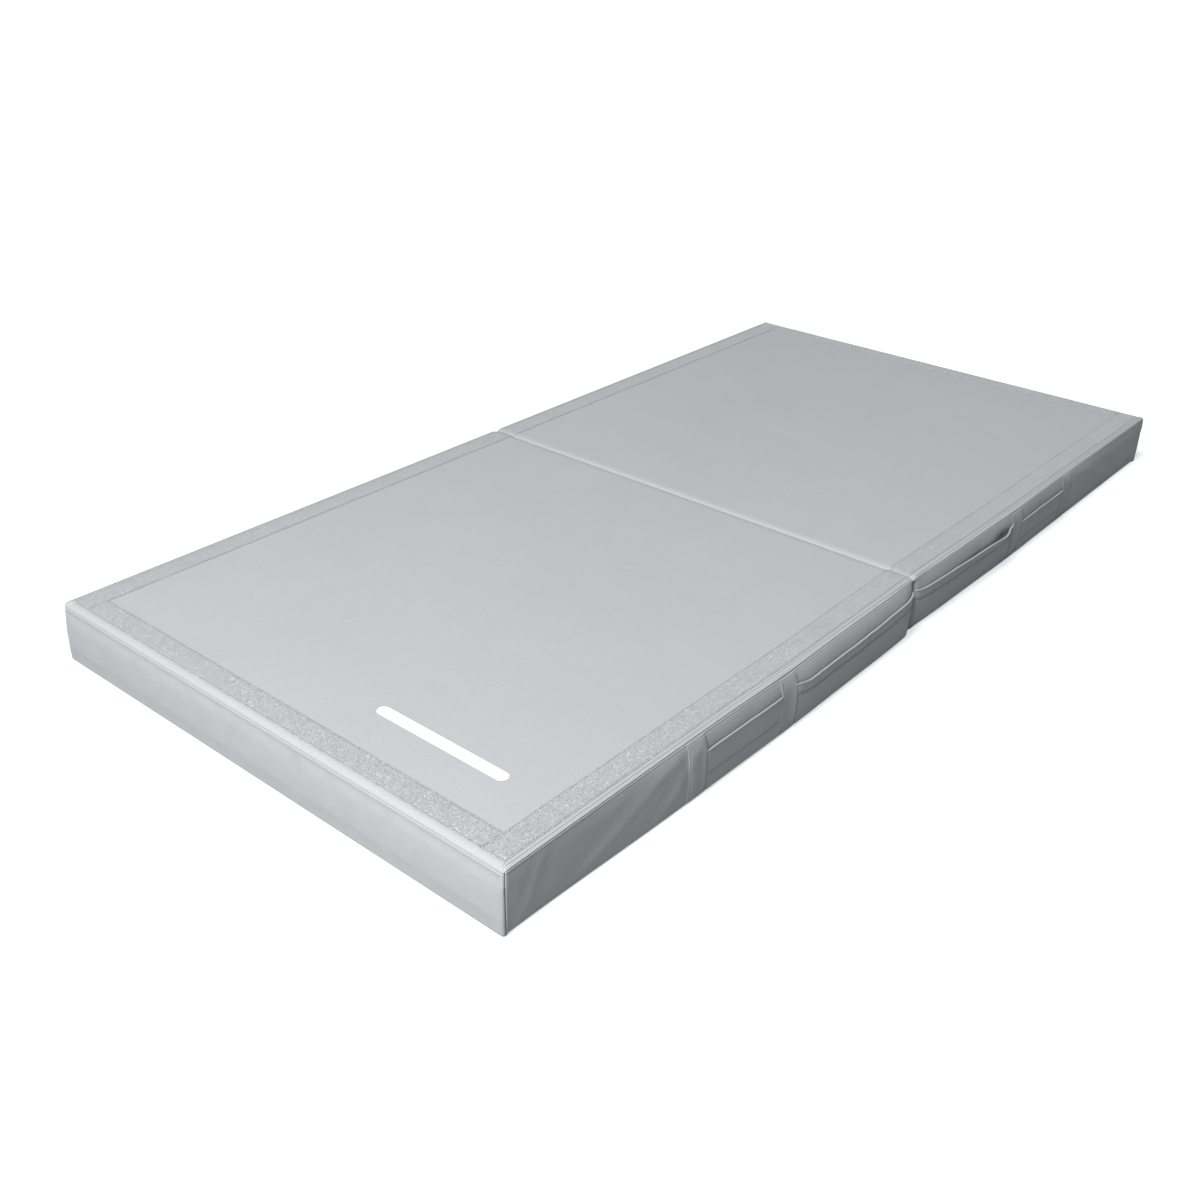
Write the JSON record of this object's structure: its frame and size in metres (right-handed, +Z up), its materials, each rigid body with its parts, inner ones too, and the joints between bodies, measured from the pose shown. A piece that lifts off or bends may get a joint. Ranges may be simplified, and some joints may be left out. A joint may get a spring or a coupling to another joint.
{
  "type": "folding gym mat",
  "caption": "Bi-fold gym mat: padded panels hinged along the top of the middle fold, with a loop tape frame on top, side pockets and zipped covers.",
  "frame": {"origin": "on the floor, under the middle of the fold line, at the centre of the open mat", "axes": "+X along the open mat towards the panel that folds over, +Y across it from the pocket side to the zip side, +Z up"},
  "size_m": [1.829, 0.9313, 0.0985],
  "materials": {
    "cover": "satin",
    "underside": "matte",
    "loop_tape": "matte",
    "foam": "matte",
    "zip_tape": "matte",
    "zip_coil": "satin",
    "zip_metal": "satin"
  },
  "bodies": {
    "left_panel": {"left_foam_core": "foam", "left_top_cover": "cover", "left_fold_hinge_strip": "cover", "left_bottom_cover": "underside", "left_front_wall": "cover", "left_outer_end_wall": "cover", "left_inner_end_wall": "cover", "left_back_wall_upper": "cover", "left_back_wall_lower": "cover", "left_front_loop_tape": "loop_tape", "left_back_loop_tape": "loop_tape", "left_end_loop_tape": "loop_tape", "left_inner_side_strip": "cover", "left_outer_side_strip": "cover", "left_long_pocket": "cover", "left_small_pocket": "cover", "left_zip_upper_tape": "zip_tape", "left_zip_lower_tape": "zip_tape", "left_zip_upper_coil": "zip_coil", "left_zip_lower_coil": "zip_coil", "left_zip_inner_tab": "cover", "left_zip_outer_tab": "cover"},
    "left_slider": {"left_zip_slider": "zip_metal"},
    "left_pull": {"left_zip_pull": "zip_metal"},
    "right_panel": {"right_foam_core": "foam", "right_top_cover": "cover", "right_fold_hinge_strip": "cover", "right_bottom_cover": "underside", "right_front_wall": "cover", "right_outer_end_wall": "cover", "right_inner_end_wall": "cover", "right_back_wall_upper": "cover", "right_back_wall_lower": "cover", "right_front_loop_tape": "loop_tape", "right_back_loop_tape": "loop_tape", "right_end_loop_tape": "loop_tape", "right_inner_side_strip": "cover", "right_outer_side_strip": "cover", "right_long_pocket": "cover", "right_small_pocket": "cover", "right_zip_upper_tape": "zip_tape", "right_zip_lower_tape": "zip_tape", "right_zip_upper_coil": "zip_coil", "right_zip_lower_coil": "zip_coil", "right_zip_inner_tab": "cover", "right_zip_outer_tab": "cover"},
    "right_slider": {"right_zip_slider": "zip_metal"},
    "right_pull": {"right_zip_pull": "zip_metal"}
  },
  "joints": [
    {"name": "fold", "type": "hinge", "parent": "left_panel", "child": "right_panel", "pos_m": [0, 0, 0.099], "axis": [0, -1, 0], "range_deg": [0, 180]},
    {"name": "left_zip", "type": "slide", "parent": "left_panel", "child": "left_slider", "axis": [1, 0, 0], "range_m": [0, 0.7965]},
    {"name": "left_pull_swing", "type": "hinge", "parent": "left_slider", "child": "left_pull", "pos_m": [-0.852, 0.46145, 0.035], "axis": [0, 0, 1], "range_deg": [0, 180]},
    {"name": "right_zip", "type": "slide", "parent": "right_panel", "child": "right_slider", "axis": [-1, 0, 0], "range_m": [0, 0.7965]},
    {"name": "right_pull_swing", "type": "hinge", "parent": "right_slider", "child": "right_pull", "pos_m": [0.852, 0.46145, 0.035], "axis": [0, 0, -1], "range_deg": [0, 180]}
  ]
}
